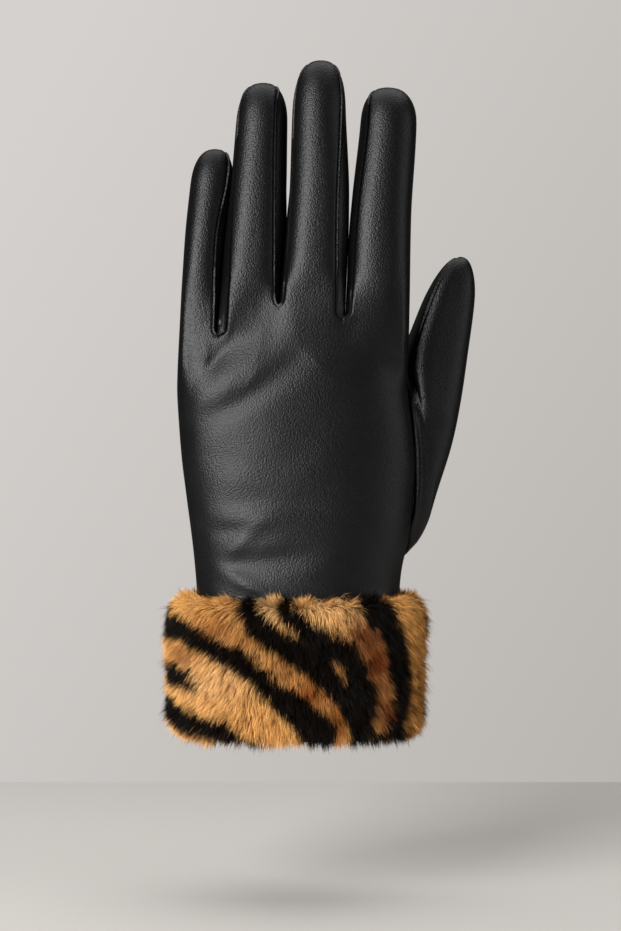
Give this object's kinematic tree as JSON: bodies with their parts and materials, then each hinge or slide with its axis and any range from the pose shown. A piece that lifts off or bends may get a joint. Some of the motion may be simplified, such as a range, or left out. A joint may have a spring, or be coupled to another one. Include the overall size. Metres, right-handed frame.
{
  "type": "dress glove",
  "caption": "Left-hand dress glove of black vegan leather with forked side strips between the fingers, a set-in thumb and a deep tiger-print faux fur cuff.",
  "frame": {"origin": "middle of the wrist opening, at the glove's hem", "axes": "+Z from the hem up to the fingertips, +X towards the thumb's side, +Y from the back of the hand to the palm"},
  "size_m": [0.1099, 0.066, 0.2311],
  "materials": {
    "trank": "fine pebble grain, soft sheen",
    "fourchette_little_ring": "fine pebble grain, soft sheen",
    "fourchette_ring_middle": "fine pebble grain, soft sheen",
    "fourchette_middle_index": "fine pebble grain, soft sheen",
    "thumb": "fine pebble grain, soft sheen",
    "fur_cuff": "short faux fur pile, tiger print"
  },
  "bodies": {
    "root": {"trank": "trank", "fourchette_little_ring": "fourchette_little_ring", "fourchette_ring_middle": "fourchette_ring_middle", "fourchette_middle_index": "fourchette_middle_index", "thumb": "thumb", "fur_cuff": "fur_cuff"}
  },
  "joints": []
}
